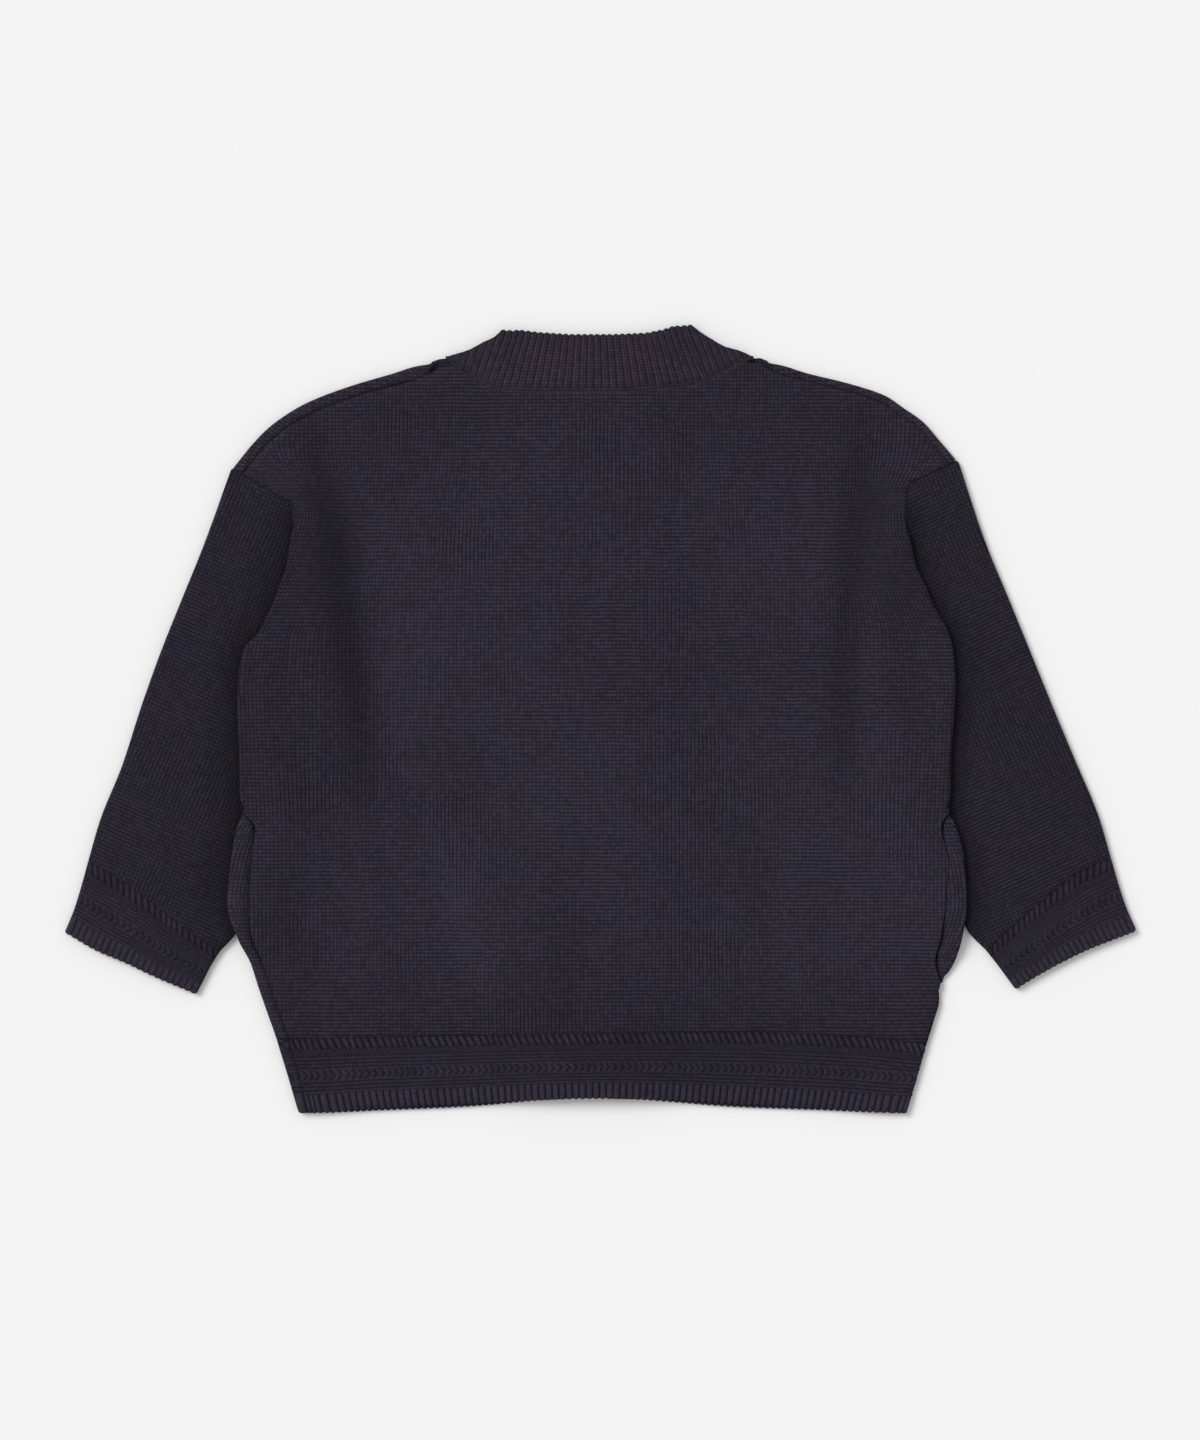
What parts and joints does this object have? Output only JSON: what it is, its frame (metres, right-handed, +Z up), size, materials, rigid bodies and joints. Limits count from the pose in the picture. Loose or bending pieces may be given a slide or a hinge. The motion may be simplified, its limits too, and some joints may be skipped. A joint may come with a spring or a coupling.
{
  "type": "child's knitted cardigan, laid flat",
  "caption": "Child's knitted cardigan lying face down, with dropped shoulders, sleeves folded down beside the body, a ribbed neckband, and banded cuffs and hem.",
  "frame": {"origin": "middle of the garment's outline, on the surface that it lies on", "axes": "+Z up out of the back panel, +Y towards the neck, +X towards the wearer's right sleeve"},
  "size_m": [0.6062, 0.4456, 0.0098],
  "materials": {
    "knit_body": "matte cotton stocking stitch",
    "knit_sleeve": "matte cotton stocking stitch",
    "knit_band": "matte cotton rib and garter stitch",
    "button": "satin"
  },
  "bodies": {
    "root": {"back": "knit_body", "front_left": "knit_body", "front_right": "knit_body", "hem_back": "knit_band", "hem_front_left": "knit_band", "hem_front_right": "knit_band", "sleeve_left": "knit_sleeve", "sleeve_right": "knit_sleeve", "cuff_left": "knit_band", "cuff_right": "knit_band", "neckband": "knit_band", "button_band_left": "knit_band", "button_band_right": "knit_band", "button_1": "button", "button_2": "button", "button_3": "button", "button_4": "button", "button_5": "button", "button_6": "button"}
  },
  "joints": []
}
